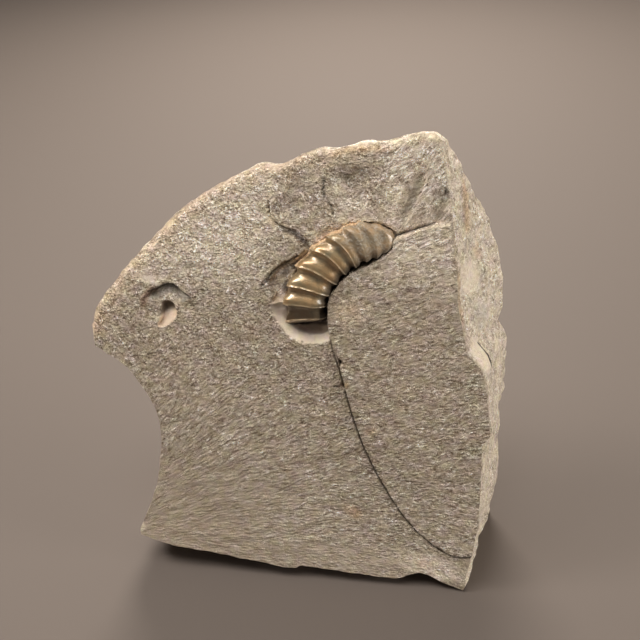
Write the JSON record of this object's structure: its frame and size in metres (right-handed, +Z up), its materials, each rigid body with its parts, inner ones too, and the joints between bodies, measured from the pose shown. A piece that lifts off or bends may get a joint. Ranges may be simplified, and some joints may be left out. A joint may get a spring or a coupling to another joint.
{
  "type": "ammonite fossil",
  "caption": "Ribbed pyritised ammonite whorl seated in a split slab of grey mudstone that stands on its flat cut foot.",
  "frame": {"origin": "middle of the flat foot that the stone stands on", "axes": "+Z up, -Y out of the split front face that holds the ammonite, +X to the right of that face"},
  "size_m": [0.0987, 0.045, 0.109],
  "materials": {
    "mudstone": "matte",
    "pyrite": "satin"
  },
  "bodies": {
    "root": {"matrix": "mudstone", "ammonite": "pyrite"}
  },
  "joints": []
}
